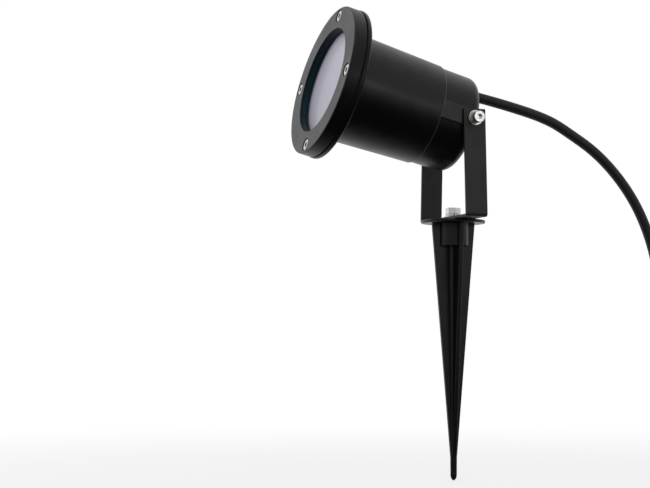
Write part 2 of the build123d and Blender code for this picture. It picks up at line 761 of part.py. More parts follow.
# ================================================================= cable entry
with BuildPart() as cable_grommet:
    # sleeve in the hole
    with BuildSketch(HEAD.offset(S_REAR + 0.25)):
        with Locations((0, CABLE_Y)):
            Circle(CABLE_HOLE_R - FIT)
            Circle(CABLE_R + FIT, mode=Mode.SUBTRACT)
    extrude(amount=REAR_WALL - 0.2)
    # flange inside the casing, cut flat at the top to clear the barrel
    with BuildSketch(HEAD.offset(S_WALL_IN + FIT)):
        with Locations((0, CABLE_Y)):
            Circle(5.4)
            Circle(CABLE_R + FIT, mode=Mode.SUBTRACT)
        with Locations((0, 30.6)):
            Rectangle(20, 10, mode=Mode.SUBTRACT)
    extrude(amount=1.3)
save(cable_grommet, "cable_grommet")

# split collar clamped on the sheath inside the casing, so that the cable can't be pulled out
CLAMP_L = 4.0
CLAMP_LUG_W = 5.6
CLAMP_SCREW = Plane(
    origin=head_pt(0, CABLE_Y - 6.6, S_CLAMP + CLAMP_L / 2), x_dir=FORWARD, z_dir=(1, 0, 0)
)
with BuildPart() as cable_clamp:
    with BuildSketch(HEAD.offset(S_CLAMP)):
        with Locations((0, CABLE_Y)):
            Circle(5.0)
        with Locations((0, CABLE_Y - 5.5)):
            Rectangle(CLAMP_LUG_W, 7.0)
        with Locations((0, CABLE_Y)):
            Circle(CABLE_R + 0.02, mode=Mode.SUBTRACT)
        with Locations((0, CABLE_Y - 6.0)):
            Rectangle(1.0, 7.0, mode=Mode.SUBTRACT)
    extrude(amount=CLAMP_L)
    with BuildSketch(CLAMP_SCREW):
        Circle(1.3)
    extrude(amount=8, both=True, mode=Mode.SUBTRACT)
save(cable_clamp, "cable_clamp")

X_CLAMP_HEAD = CLAMP_LUG_W / 2 + FIT
CLAMP_HEAD_H = 1.7
with BuildPart() as cable_clamp_screw:
    with BuildSketch(CLAMP_SCREW.offset(-4.2)):
        Circle(1.25)
    extrude(amount=7.2)
    with BuildSketch(CLAMP_SCREW.offset(X_CLAMP_HEAD)):
        Circle(2.2)
    extrude(amount=CLAMP_HEAD_H)
    with BuildSketch(CLAMP_SCREW.offset(X_CLAMP_HEAD + CLAMP_HEAD_H)):
        Rectangle(4.6, 0.6)
    extrude(amount=-0.8, mode=Mode.SUBTRACT)
save(cable_clamp_screw, "cable_clamp_screw")

# ================================================================= cable sheath
def coil_pt(turn):
    """A point on the coil, turned anticlockwise from the side nearest the lamp, degrees."""
    angle = math.radians(turn - 90.0)
    radius = COIL_R - COIL_PITCH * turn / 360.0
    return (
        COIL_C[0] + radius * math.cos(angle),
        COIL_C[1] + radius * math.sin(angle),
        FLOOR_Z,
    )


# centre line of the lead as points (x, y, z): out of the head, then down to the coil
EXIT_PT = head_pt(0, CABLE_Y, S_REAR - 1.5)
NEAR_RUN = [EXIT_PT, (0, 18.3, 78.0), (0, 30.2, 75.6), (0, 41.3, 73.1), (0, 51.8, 70.5)]
NEAR_RUN_END = (0, 0.9666, -0.2562)     # direction where the two runs join
FAR_RUN = [
    NEAR_RUN[-1],
    (0, 60.8, 67.8), (0, 68.4, 64.9), (0, 79.3, 59.1),
    (0, 95.3, 49.3), (0, 112.0, 34.5), (0, 126.5, 15.5),
    (0, 138.0, -10.0), (0, 145.0, -45.0), (0, 148.0, -85.0),
    (1.0, 148.2, -118.0), (10.0, 148.8, -143.0),
    coil_pt(0),
]
COIL = [coil_pt(turn) for turn in range(0, COIL_TURN + 1, COIL_STEP)]

# the last of the lead turns in towards the middle of the coil
last_angle = math.radians(COIL_TURN - 90.0)
outward = Vector(math.cos(last_angle), math.sin(last_angle), 0)
onward = Vector(-math.sin(last_angle), math.cos(last_angle), 0)
turn_in = math.radians(TURN_IN_ANGLE)
TURN_IN_END = (
    Vector(*COIL[-1])
    - outward * TURN_IN_R
    + outward * (TURN_IN_R * math.cos(turn_in))
    + onward * (TURN_IN_R * math.sin(turn_in))
)

with BuildPart(mode=Mode.PRIVATE) as near_lead:
    with BuildLine():
        Line(head_pt(0, CABLE_Y, S_SHEATH_END), EXIT_PT)
        Spline(*NEAR_RUN, tangents=(BACKWARD, NEAR_RUN_END))
    with BuildSketch(HEAD.offset(S_SHEATH_END)):
        with Locations((0, CABLE_Y)):
            Circle(CABLE_R)
    sweep()

# the short end that turns with the head
with BuildPart() as cable_tail:
    add(near_lead.part)
    with BuildSketch(SIDE):
        Circle(TAIL_SPLIT_R - TAIL_HALF_GAP)
    extrude(amount=20, both=True, mode=Mode.INTERSECT)
save(cable_tail, "cable_tail")

# the rest of the lead, down to the floor and coiled
with BuildPart(mode=Mode.PRIVATE) as mid_lead:
    add(near_lead.part)
    with BuildSketch(SIDE):
        Circle(TAIL_SPLIT_R + TAIL_HALF_GAP)
    extrude(amount=20, both=True, mode=Mode.SUBTRACT)

with BuildPart() as power_cable:
    with BuildLine():
        Spline(*FAR_RUN, tangents=(NEAR_RUN_END, (1, 0, 0)))
        heading = Vector(1, 0, 0)
        for arc_start, arc_end in zip(COIL[:-1], COIL[1:]):
            coil_arc = TangentArc(arc_start, arc_end, tangent=heading)
            heading = coil_arc % 1
        last_arc = TangentArc(COIL[-1], TURN_IN_END, tangent=heading)
    with BuildSketch(Plane(origin=FAR_RUN[0], x_dir=(1, 0, 0), z_dir=NEAR_RUN_END)):
        Circle(CABLE_R)
    sweep()
    add(mid_lead.part)
save(power_cable, "power_cable")

# ================================================================= cores inside the head
# The brown and blue cores each turn inward behind the holder, cross to their contact
# and turn forward again.
S_CORE = S_SHEATH_END + CORE_GAP
CORE_X = 1.32           # brown and blue cores in the sheath, either side of its middle
CORE_Y = CABLE_Y + 0.8
EARTH_CORE_Y = CABLE_Y - 1.5
BEND_R = 2.6
S_CROSS = 8.9           # the cores cross the casing here, clear of the bracket
S_CORE_END = 18.1
CORE_SPAN = math.hypot(CONTACT_X - CORE_X, CORE_Y)      # from the sheath to the contact


def core_pt(side, across, s):
    """A point on the flat that holds one core's centre line, across = distance from its start."""
    fraction = across / CORE_SPAN
    x = CORE_X + (CONTACT_X - CORE_X) * fraction
    return head_pt(side * x, CORE_Y * (1 - fraction), s)


for core_name, side in (("brown", -1), ("blue", 1)):
    core_start = core_pt(side, 0, S_CORE)
    with BuildPart() as inner_core:
        with BuildLine() as core_line:
            rear = Line(core_start, core_pt(side, 0, S_CROSS - BEND_R))
            first = TangentArc(rear @ 1, core_pt(side, BEND_R, S_CROSS), tangent=rear % 1)
            cross = Line(first @ 1, core_pt(side, CORE_SPAN - BEND_R, S_CROSS))
            second = TangentArc(
                cross @ 1, core_pt(side, CORE_SPAN, S_CROSS + BEND_R), tangent=cross % 1
            )
            Line(second @ 1, core_pt(side, CORE_SPAN, S_CORE_END))
        with BuildSketch(Plane(origin=core_start, x_dir=(1, 0, 0), z_dir=FORWARD)):
            Circle(CORE_R)
        sweep(path=core_line.wires()[0])
    save(inner_core, f"{core_name}_core_inner")

S_EARTH_BARREL = S_EARTH + 2.0      # axis of the terminal's barrel
with BuildPart() as earth_core_inner:
    with BuildLine() as earth_line:
        Spline(
            head_pt(0, EARTH_CORE_Y, S_CORE),
            head_pt(0, 17.4, 7.2),
            head_pt(0, 12.0, 7.3),
            head_pt(0, 2.0, 5.9),
            head_pt(0, -6.2, S_EARTH_BARREL),
            tangents=(FORWARD, HEAD_DOWN),
        )
    with BuildSketch(Plane(origin=earth_line.line @ 0, x_dir=(1, 0, 0), z_dir=FORWARD)):
        Circle(CORE_R)
    sweep()
save(earth_core_inner, "earth_core_inner")

# ring terminal and its screw on the earth post
S_TERMINAL = S_EARTH + FIT
TERMINAL_T = 0.8
with BuildPart() as earth_terminal:
    with BuildSketch(HEAD.offset(S_TERMINAL)):
        with Locations((0, EARTH_Y)):
            Circle(3.3)
        with Locations((0, -11.5)):
            Rectangle(2.4, 6.0)
        with Locations((0, EARTH_Y)):
            Circle(1.6, mode=Mode.SUBTRACT)
    extrude(amount=TERMINAL_T)
    # crimp barrel in line with the end of the core
    barrel_start = head_pt(0, -11.2, S_EARTH_BARREL)
    with BuildSketch(Plane(origin=barrel_start, x_dir=(1, 0, 0), z_dir=HEAD_UP)):
        Circle(1.5)
    extrude(amount=4.4)
save(earth_terminal, "earth_terminal")

earth_screw = cross_screws(
    [(0, EARTH_Y)], s_seat=S_TERMINAL + TERMINAL_T + FIT, s_tip=S_EARTH - 5.0, shank_length=6.0
)
save(earth_screw, "earth_screw")

# ================================================================= stripped end of the lead
cut_end = last_arc @ 1
cut_way = last_arc % 1
END_WAY = Vector(cut_way.X, cut_way.Y, 0)
END_LEFT = Vector(-cut_way.Y, cut_way.X, 0)
CORE_REST_Z = FLOOR_Z - CABLE_R + CORE_R + 0.05     # core centre where it lies on the floor

# each core: (left, up) in the sheath, then three points (along, left) beyond the cut
CORE_FAN = {
    "brown": ((1.35, 0.9), (15.0, 4.2), (31.0, 8.6), (44.0, 13.6)),
    "blue": ((-1.35, 0.9), (15.0, -4.4), (30.0, -9.6), (42.0, -15.4)),
    "earth": ((0.0, -1.4), (16.0, -0.3), (32.0, -0.9), (47.0, -2.4)),
}


def end_pt(along, left, z):
    """A point beyond the cut end of the sheath."""
    point = cut_end + END_WAY * along + END_LEFT * left
    return Vector(point.X, point.Y, z)


bare_starts = []        # where each core's bare wires leave it, and which way
for core_name, (start, near, middle, far) in CORE_FAN.items():
    start_z = cut_end.Z + start[1]
    fan_points = [
        end_pt(CORE_GAP, start[0], start_z),
        end_pt(*near, (start_z + CORE_REST_Z) / 2),
        end_pt(*middle, CORE_REST_Z),
        end_pt(*far, CORE_REST_Z),
    ]
    far_way = (fan_points[3] - fan_points[2]).normalized()
    bare_starts.append((fan_points[3], far_way))
    with BuildPart() as end_core:
        with BuildLine() as end_line:
            Spline(*fan_points, tangents=(END_WAY, far_way))
        with BuildSketch(Plane(origin=end_line.line @ 0, z_dir=END_WAY)):
            Circle(CORE_R)
        sweep()
    save(end_core, f"{core_name}_core")

with BuildPart() as bare_wire_ends:
    for wire_start, wire_way in bare_starts:
        with BuildSketch(Plane(origin=wire_start, z_dir=wire_way).offset(0.12)):
            Circle(STRAND_R)
        extrude(amount=7.5)
save(bare_wire_ends, "bare_wire_ends")
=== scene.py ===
"""A garden spike light: a lamp head tilted in a strap yoke over a ground spike, and its power lead.

The frame is in metres with +Z up. The head tilts about the X axis and its glass faces -Y and a
little upwards; the lead leaves on the +Y side and lies coiled on the ground. Lengths below are in
millimetres unless a comment says metres.
"""
import math

import bmesh
import bpy
import numpy as np
from mathutils import Matrix, Vector


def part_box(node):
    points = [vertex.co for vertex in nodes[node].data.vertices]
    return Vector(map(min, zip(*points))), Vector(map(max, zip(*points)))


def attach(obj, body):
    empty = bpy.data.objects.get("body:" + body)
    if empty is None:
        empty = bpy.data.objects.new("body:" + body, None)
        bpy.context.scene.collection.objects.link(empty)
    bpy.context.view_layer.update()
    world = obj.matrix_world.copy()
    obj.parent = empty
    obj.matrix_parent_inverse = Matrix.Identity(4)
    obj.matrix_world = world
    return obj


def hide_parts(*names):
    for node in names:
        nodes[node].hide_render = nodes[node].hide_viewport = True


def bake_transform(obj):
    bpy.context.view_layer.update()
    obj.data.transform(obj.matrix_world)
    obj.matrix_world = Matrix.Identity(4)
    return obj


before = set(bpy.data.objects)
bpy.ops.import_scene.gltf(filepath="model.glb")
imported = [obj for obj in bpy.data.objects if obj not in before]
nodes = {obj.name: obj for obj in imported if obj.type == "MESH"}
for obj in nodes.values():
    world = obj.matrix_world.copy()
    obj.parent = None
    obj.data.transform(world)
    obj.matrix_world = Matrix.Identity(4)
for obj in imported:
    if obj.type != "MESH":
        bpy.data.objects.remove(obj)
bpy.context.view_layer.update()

scene = bpy.context.scene

MM = 0.001                    # metres in a millimetre
HEAD_TILT = 15.0              # degrees
TILT_AXIS_Z = 61.0            # height of the tilt axis
COS_TILT = math.cos(math.radians(HEAD_TILT))
SIN_TILT = math.sin(math.radians(HEAD_TILT))
FLOOR_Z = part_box("ground_spike")[0].z    # metres, the lowest point of the spike


def head_point(x, up, front):
    """A point in metres, from millimetres along the head's own axes: to its top and its front."""
    return Vector((
        x,
        up * SIN_TILT - front * COS_TILT,
        TILT_AXIS_Z + up * COS_TILT + front * SIN_TILT,
    )) * MM


# ================================================================= node tools
def grey(level):
    return (level,) * 3


def shade(tint, gain):
    """A tint made darker or lighter, kept to 1 at most."""
    return tuple(min(1.0, channel * gain) for channel in tint)


class Nodes:
    """Builds shader nodes in one tree. A node input is given by its name, or as i0, i1 and so on."""

    def __init__(self, tree):
        self.tree = tree
        tree.nodes.clear()

    def put(self, socket, value):
        if isinstance(value, bpy.types.NodeSocket):
            self.tree.links.new(value, socket)
        elif isinstance(value, tuple) and len(value) == 3 and socket.type == "RGBA":
            socket.default_value = (*value, 1.0)
        else:
            socket.default_value = value

    def node(self, kind, props=None, **inputs):
        made = self.tree.nodes.new(kind)
        for key, value in (props or {}).items():
            setattr(made, key, value)
        for key, value in inputs.items():
            numbered = key[0] == "i" and key[1:].isdigit()
            self.put(made.inputs[int(key[1:]) if numbered else key.replace("_", " ")], value)
        return made

    def coords(self):
        return self.node("ShaderNodeTexCoord").outputs["Object"]

    def split(self, vector):
        return self.node("ShaderNodeSeparateXYZ", Vector=vector).outputs

    def noise(self, place, scale, detail=3.0, rough=0.55, distort=0.0):
        return self.node("ShaderNodeTexNoise", {"noise_dimensions": "3D"}, Vector=place,
                         Scale=scale, Detail=detail, Roughness=rough, Distortion=distort).outputs[0]

    def voronoi(self, place, scale, feature="F1"):
        return self.node("ShaderNodeTexVoronoi", {"feature": feature}, Vector=place,
                         Scale=scale).outputs["Distance"]

    def math(self, operation, first, second=0.0):
        return self.node("ShaderNodeMath", {"operation": operation},
                         i0=first, i1=second, i2=0.0).outputs[0]

    def times(self, first, second):
        return self.math("MULTIPLY", first, second)

    def plus(self, first, second):
        return self.math("ADD", first, second)

    def minus(self, first, second):
        return self.math("SUBTRACT", first, second)

    def ramp(self, source, span=(0.3, 0.7), to=(0.0, 1.0), smooth=False):
        """Carries the span of source values onto the `to` range, clamped at both ends."""
        kind = "SMOOTHSTEP" if smooth else "LINEAR"
        return self.node("ShaderNodeMapRange", {"interpolation_type": kind, "clamp": True},
                         i0=source, i1=span[0], i2=span[1], i3=to[0], i4=to[1]).outputs[0]

    def mix(self, fac, below, above):
        return self.node("ShaderNodeMix", {"data_type": "RGBA", "clamp_factor": True},
                         i0=fac, i6=below, i7=above).outputs[2]

    def mix_shader(self, fac, first, second):
        return self.node("ShaderNodeMixShader", i0=fac, i1=first, i2=second).outputs[0]

    def tones(self, source, low, high, span=(0.3, 0.7)):
        """Runs from one colour to another as the source crosses the span."""
        return self.mix(self.ramp(source, span), low, high)

    def over(self, base, colour, mask, amount):
        """Lays a colour over the base by an amount, where the mask is 1."""
        return self.mix(self.times(mask, amount), base, colour)


class Surface(Nodes):
    """A named material with a Principled surface and textures laid out in millimetres."""

    def __init__(self, name):
        self.data = bpy.data.materials.new(name)
        self.data.use_nodes = True
        super().__init__(self.data.node_tree)
        self.bsdf = self.node("ShaderNodeBsdfPrincipled")
        self.node("ShaderNodeOutputMaterial", Surface=self.bsdf.outputs[0])
        self.normal = None

    def set(self, **inputs):
        for key, value in inputs.items():
            self.put(self.bsdf.inputs[key.replace("_", " ")], value)

    def attribute(self, name):
        return self.node("ShaderNodeAttribute", {"attribute_name": name}).outputs["Fac"]

    def mm(self, scale=(1.0, 1.0, 1.0), rotate=(0.0, 0.0, 0.0)):
        """Object coordinates in millimetres, turned (radians) and stretched."""
        return self.node("ShaderNodeMapping", {"vector_type": "POINT"}, Vector=self.coords(),
                         Scale=[1000.0 * factor for factor in scale], Rotation=rotate).outputs[0]

    def head_mm(self):
        """Millimetres from the tilt axis, with Z along the lamp head's axis."""
        moved = self.node("ShaderNodeVectorMath", {"operation": "SUBTRACT"},
                          i0=self.coords(), i1=(0.0, 0.0, TILT_AXIS_Z * MM)).outputs[0]
        scaled = self.node("ShaderNodeVectorMath", {"operation": "SCALE"},
                           i0=moved, Scale=1000.0).outputs[0]
        return self.node("ShaderNodeVectorRotate", {"rotation_type": "X_AXIS"}, Vector=scaled,
                         Angle=-math.radians(90.0 - HEAD_TILT)).outputs[0]

    def head_radius(self):
        """Distance from the head's axis, and place along it."""
        x, y, along = self.split(self.head_mm())
        squares = self.plus(self.times(x, x), self.times(y, y))
        return self.math("SQRT", squares), along

    def bump(self, height, depth, strength=0.5):
        """Adds a height field, stacked on the earlier ones."""
        made = self.node("ShaderNodeBump", Height=height, Distance=depth * MM, Strength=strength)
        if self.normal is not None:
            self.put(made.inputs["Normal"], self.normal)
        self.normal = made.outputs[0]
        self.set(Normal=self.normal, Coat_Normal=self.normal)

    def soften(self, radius):
        """Rounds edges in the shading of the bumps that follow; gives a mask, 1 along the edges."""
        self.normal = self.node("ShaderNodeBevel", {"samples": 6}, Radius=radius * MM).outputs[0]
        true_normal = self.node("ShaderNodeNewGeometry").outputs["Normal"]
        facing = self.node("ShaderNodeVectorMath", {"operation": "DOT_PRODUCT"},
                           i0=self.normal, i1=true_normal).outputs["Value"]
        return self.ramp(facing, span=(0.995, 0.86))


# ================================================================= finishes
def barrel_step(mat, base, place):
    """A painted highlight, a little patchy, where the barrel steps down to its rear section: a pale
    band for the light that the step catches.
    """
    radius, along = mat.head_radius()
    # painted highlight: a pale band round the step, patchy along it
    step_highlight = mat.times(mat.ramp(along, span=(19.75, 20.15)), mat.ramp(along, span=(21.05, 20.65)))
    step_highlight = mat.times(step_highlight, mat.ramp(radius, span=(29.0, 29.6)))
    patchy = mat.ramp(mat.noise(place, scale=0.35, detail=2.0), span=(0.25, 0.6), to=(0.55, 1.0))
    mat.set(Specular_IOR_Level=mat.ramp(radius, span=(44.0, 45.6), to=(0.46, 0.26)))
    return mat.over(base, grey(0.080), step_highlight, amount=patchy)


def bezel_opening(mat, base, _place):
    """The opening's wall is smooth, blue-green beside the glass; the ring's outside is duller."""
    radius, along = mat.head_radius()
    inside = mat.ramp(radius, span=(33.0, 32.5))
    outside = mat.ramp(radius, span=(45.2, 45.9))
    depth = mat.ramp(along, span=(83.2, 88.3))
    wall = mat.mix(mat.ramp(depth, span=(0.62, 0.80), smooth=True),
                   below=(0.0045, 0.0140, 0.0175), above=(0.0015, 0.0022, 0.0035))
    # specular level: full on the face, less outside the ring and inside the opening
    level = mat.minus(0.54, mat.times(outside, 0.24))
    level = mat.minus(level, mat.times(inside, 0.18))
    mat.set(Specular_IOR_Level=level,
            Specular_Tint=mat.mix(inside, below=(0.96, 0.925, 1.0), above=(0.42, 0.86, 1.0)))
    return mat.mix(inside, base, wall)


def powder_coat(name, tone, rough, grain, edge_gain, detail):
    """Fine satin powder paint: orange-peel grain, faint clouds, specks of dust and paler edges."""
    mat = Surface(name)
    edge = mat.soften(radius=0.45)
    place = mat.mm()
    cloud = mat.noise(place, scale=0.055, detail=4.0, rough=0.6)
    fine = mat.noise(place, scale=2.6, detail=4.0, rough=0.6)
    base = mat.tones(cloud, low=grey(tone * 0.80), high=(tone * 1.22, tone * 1.22, tone * 1.24),
                     span=(0.32, 0.68))
    base = mat.over(base, grey(tone * 1.7), mat.ramp(fine, span=(0.45, 0.75)), amount=0.35)
    specks = mat.ramp(mat.voronoi(place, scale=0.42), span=(0.085, 0.055))
    dusty = mat.ramp(mat.noise(place, scale=0.09, detail=2.0), span=(0.56, 0.66))
    lint = mat.times(specks, dusty)
    base = mat.over(base, (0.05, 0.05, 0.049), lint, amount=0.25)
    rub = mat.times(edge, mat.ramp(mat.noise(place, scale=0.7), span=(0.40, 0.62)))
    base = mat.over(base, grey(tone * 4.0 + 0.012), rub, amount=edge_gain)
    mat.set(Base_Color=detail(mat, base, place))
    # duller where lint lies, smoother where edges are rubbed
    roughness = mat.ramp(cloud, to=(rough - 0.045, rough + 0.05))
    roughness = mat.plus(roughness, mat.times(lint, 0.2))
    mat.set(Roughness=mat.minus(roughness, mat.times(rub, 0.10)), IOR=1.5)
    mat.bump(fine, depth=0.030 * grain, strength=0.55)
    mat.bump(mat.noise(place, scale=0.75, detail=2.0), depth=0.05 * grain, strength=0.35)
    return mat.data


def strap_paint(name):
    """Strip steel with a thin matt black coat: rolled grain along the strip and rubbed edges."""
    mat = Surface(name)
    edge = mat.soften(radius=0.25)
    place = mat.mm()
    grain = mat.noise(mat.mm(scale=(1.0, 0.6, 0.07)), scale=1.1, detail=4.0, rough=0.6)
    cloud = mat.noise(place, scale=0.07)
    base = mat.tones(cloud, low=(0.0180, 0.0180, 0.0178), high=(0.0240, 0.0240, 0.0238))
    base = mat.over(base, grey(0.034), mat.ramp(grain, span=(0.5, 0.8)), amount=0.3)
    scuff_place = mat.mm(scale=(0.6, 1.6, 0.12), rotate=(0.5, 0.0, 0.2))
    scuff = mat.noise(scuff_place, scale=0.9, rough=0.5, distort=0.6)
    base = mat.over(base, grey(0.04), mat.ramp(scuff, span=(0.66, 0.73)), amount=0.22)
    rub = mat.times(edge, mat.ramp(mat.noise(place, scale=0.9), span=(0.38, 0.60)))
    base = mat.over(base, grey(0.12), rub, amount=0.55)
    mat.set(Base_Color=base, Roughness=mat.ramp(grain, to=(0.46, 0.58)), IOR=1.5)
    mat.bump(mat.noise(place, scale=3.0), depth=0.018)
    mat.bump(grain, depth=0.02, strength=0.3)
    return mat.data


def moulded_plastic(name, tone, rough):
    """Injection-moulded polypropylene: sink waviness, fine spark texture, flow marks, scratches."""
    mat = Surface(name)
    edge = mat.soften(radius=0.3)
    place = mat.mm()
    flow = mat.noise(mat.mm(scale=(1.0, 1.0, 0.16)), scale=0.28, distort=0.4)
    spark = mat.noise(place, scale=3.6, detail=4.0, rough=0.65)
    base = mat.tones(flow, low=grey(tone * 0.85), high=grey(tone * 1.25))
    scratch_place = mat.mm(scale=(1.4, 1.4, 0.05), rotate=(0.15, 0.25, 0.0))
    scratch = mat.ramp(mat.noise(scratch_place, scale=0.8, rough=0.5), span=(0.67, 0.71))
    base = mat.over(base, (0.06, 0.06, 0.058), scratch, amount=0.25)
    base = mat.over(base, grey(0.016), edge, amount=0.35)
    roughness = mat.ramp(flow, to=(rough - 0.05, rough + 0.06))
    mat.set(Base_Color=base, IOR=1.49, Specular_IOR_Level=0.40,
            Roughness=mat.plus(roughness, mat.times(scratch, 0.15)))
    mat.bump(spark, depth=0.02)
    mat.bump(mat.noise(place, scale=0.12, detail=2.0), depth=0.25, strength=0.30)
    return mat.data


def bright_metal(name, tint, rough, brushed, tarnish, amount):
    """Machined or drawn metal: directional tool marks, small tarnish patches and bright edges."""
    mat = Surface(name)
    edge = mat.soften(radius=0.12)
    place = mat.mm()
    marks = mat.noise(mat.mm(scale=brushed), scale=5.5, detail=4.0, rough=0.65)
    patch = mat.noise(place, scale=0.8, detail=4.0, rough=0.6)
    base = mat.tones(marks, low=shade(tint, 0.80), high=tint)
    base = mat.over(base, tarnish, mat.ramp(patch, span=(0.55, 0.75)), amount=amount)
    base = mat.over(base, shade(tint, 1.15), edge, amount=0.4)
    roughness = mat.ramp(marks, to=(rough - 0.06, rough + 0.07))
    dulling = mat.times(mat.ramp(patch, span=(0.5, 0.8)), 0.12)
    mat.set(Base_Color=base, Metallic=1.0, Roughness=mat.plus(roughness, dulling))
    mat.bump(marks, depth=0.012, strength=0.45)
    return mat.data


def rubber(name, tone):
    """Matt vulcanised rubber: fine ribs along its length, bloom and talc dust."""
    mat = Surface(name)
    place = mat.mm()
    fine = mat.noise(place, scale=3.2, detail=4.0, rough=0.6)
    bloom = mat.noise(place, scale=0.11, detail=4.0, rough=0.62)
    rib_count = 30.0
    ribs = mat.math("SINE", mat.times(mat.attribute("around"), 2 * math.pi * rib_count))
    base = mat.tones(bloom, low=grey(tone * 0.85), high=(tone * 1.6, tone * 1.58, tone * 1.52),
                     span=(0.35, 0.70))
    dust = mat.times(mat.ramp(bloom, span=(0.56, 0.72)), mat.ramp(fine, span=(0.5, 0.7)))
    base = mat.over(base, (0.05, 0.049, 0.046), dust, amount=0.12)
    mat.set(Base_Color=base, Roughness=mat.ramp(bloom, to=(0.50, 0.64)), IOR=1.52)
    mat.bump(ribs, depth=0.015, strength=0.25)
    mat.bump(fine, depth=0.03)
    return mat.data


def insulation(name, tint, stripe=None):
    """Soft glossy PVC, with a second colour in stripes along it where there is one."""
    mat = Surface(name)
    place = mat.mm()
    mottled = mat.noise(place, scale=0.5)
    base = mat.tones(mottled, low=shade(tint, 0.85), high=shade(tint, 1.12))
    if stripe:
        stripe_pairs = 2.0
        turns_per_mm = 0.018
        drift = mat.times(mat.attribute("along"), turns_per_mm)
        turn = mat.plus(mat.attribute("around"), drift)
        wave = mat.math("SINE", mat.times(turn, 2 * math.pi * stripe_pairs))
        base = mat.tones(wave, low=base, high=stripe, span=(-0.06, 0.06))
    mat.set(Base_Color=base, Roughness=mat.ramp(mottled, to=(0.26, 0.38)), IOR=1.53,
            Subsurface_Weight=0.06, Subsurface_Scale=0.0008)
    mat.bump(mat.noise(place, scale=2.2), depth=0.012)
    return mat.data


def inner_earth(name):
    """Green and yellow insulation for the straight run inside the head."""
    mat = Surface(name)
    place = mat.mm()
    x, _, along = mat.split(mat.head_mm())
    # radians per millimetre along the head, and across it, which slants the stripes
    twist = mat.plus(mat.times(along, 0.45), mat.times(x, 1.3))
    base = mat.tones(mat.math("SINE", twist), low=(0.06, 0.30, 0.05), high=(0.78, 0.62, 0.03),
                     span=(-0.08, 0.08))
    mat.set(Base_Color=base, Roughness=mat.ramp(mat.noise(place, scale=0.5), to=(0.28, 0.40)),
            Subsurface_Weight=0.05, Subsurface_Scale=0.0008)
    mat.bump(mat.noise(place, scale=2.2), depth=0.012)
    return mat.data


def frosted_glass(name):
    """Etched pane: pale, slightly violet, green rim; a darker ring near its edge is a painted
    reflection of the seal.
    """
    mat = Surface(name)
    radius, _ = mat.head_radius()
    place = mat.mm()
    etch = mat.noise(place, scale=4.5, detail=4.0, rough=0.7)
    haze = mat.noise(place, scale=0.035)
    # painted reflection of the seal: a darker ring just inside the pane's edge
    ring = mat.ramp(radius, span=(28.6, 29.8), smooth=True)
    body = mat.tones(haze, low=(0.52, 0.505, 0.60), high=(0.57, 0.555, 0.655))
    body = mat.over(body, (0.19, 0.20, 0.26), ring, amount=0.42)
    body = mat.over(body, (0.80, 0.80, 0.84), mat.ramp(etch, span=(0.42, 0.7)), amount=0.10)
    # painted shade: darker towards the bottom of the pane
    lower = mat.ramp(mat.split(place)[2], span=(108.0, 52.0), to=(0.0, 0.34))
    body = mat.mix(lower, body, above=(0.22, 0.215, 0.265))
    body = mat.tones(radius, low=body, high=(0.20, 0.34, 0.31), span=(34.6, 35.4))
    # painted light: the pane glows faintly in its own colour, though the lamp inside is not lit
    mat.set(Base_Color=body, Roughness=mat.ramp(etch, to=(0.30, 0.44)), IOR=1.52,
            Transmission_Weight=0.12, Subsurface_Weight=0.10, Subsurface_Scale=0.0012,
            Coat_Weight=0.25, Coat_Roughness=0.06,
            Emission_Color=body, Emission_Strength=0.20)
    mat.bump(etch, depth=0.010)
    return mat.data


def clear_lens(name):
    """Moulded clear polycarbonate with small raised optics."""
    mat = Surface(name)
    cells = mat.voronoi(mat.head_mm(), scale=0.17, feature="SMOOTH_F1")
    base = mat.tones(cells, low=(0.96, 0.97, 1.0), high=(0.88, 0.90, 0.94), span=(0.1, 0.6))
    mat.set(Base_Color=base, Roughness=mat.ramp(mat.noise(mat.mm(), scale=0.8), to=(0.05, 0.14)),
            IOR=1.58, Transmission_Weight=0.92)
    mat.bump(cells, depth=0.5, strength=0.4)
    return mat.data


def silicone(name, tint, through):
    """Soft satin sealing rubber; `through` is how much light scatters inside it."""
    mat = Surface(name)
    place = mat.mm()
    mottled = mat.noise(place, scale=0.35)
    mat.set(Base_Color=mat.tones(mottled, low=shade(tint, 0.9), high=shade(tint, 1.08)),
            Roughness=mat.ramp(mottled, to=(0.38, 0.55)), IOR=1.42,
            Subsurface_Weight=through, Subsurface_Scale=0.0015)
    mat.bump(mat.noise(place, scale=1.8), depth=0.03)
    return mat.data


def ceramic(name):
    """Pressed steatite: warm white, unglazed, with tiny pits and speckle."""
    mat = Surface(name)
    edge = mat.soften(radius=0.25)
    place = mat.mm()
    mottled = mat.noise(place, scale=0.4, detail=4.0)
    pits = mat.ramp(mat.voronoi(place, scale=1.4), span=(0.16, 0.08))
    base = mat.tones(mottled, low=(0.72, 0.70, 0.64), high=(0.80, 0.785, 0.735))
    base = mat.over(base, (0.42, 0.38, 0.32), pits, amount=0.35)
    base = mat.over(base, (0.88, 0.87, 0.84), edge, amount=0.25)
    mat.set(Base_Color=base, Roughness=mat.ramp(mottled, to=(0.42, 0.60)),
            Subsurface_Weight=0.08, Subsurface_Scale=0.001)
    mat.bump(pits, depth=-0.04)
    mat.bump(mat.noise(place, scale=3.0), depth=0.02)
    return mat.data


def white_moulding(name, tint, rough):
    """Off-white moulded plastic with slightly paler edges."""
    mat = Surface(name)
    edge = mat.soften(radius=0.25)
    place = mat.mm()
    mottled = mat.noise(place, scale=0.25)
    base = mat.tones(mottled, low=shade(tint, 0.94), high=shade(tint, 1.04))
    base = mat.over(base, grey(0.88), edge, amount=0.25)
    mat.set(Base_Color=base, Roughness=mat.ramp(mottled, to=(rough - 0.04, rough + 0.06)),
            Subsurface_Weight=0.06, Subsurface_Scale=0.001)
    mat.bump(mat.noise(place, scale=3.0), depth=0.015)
    return mat.data


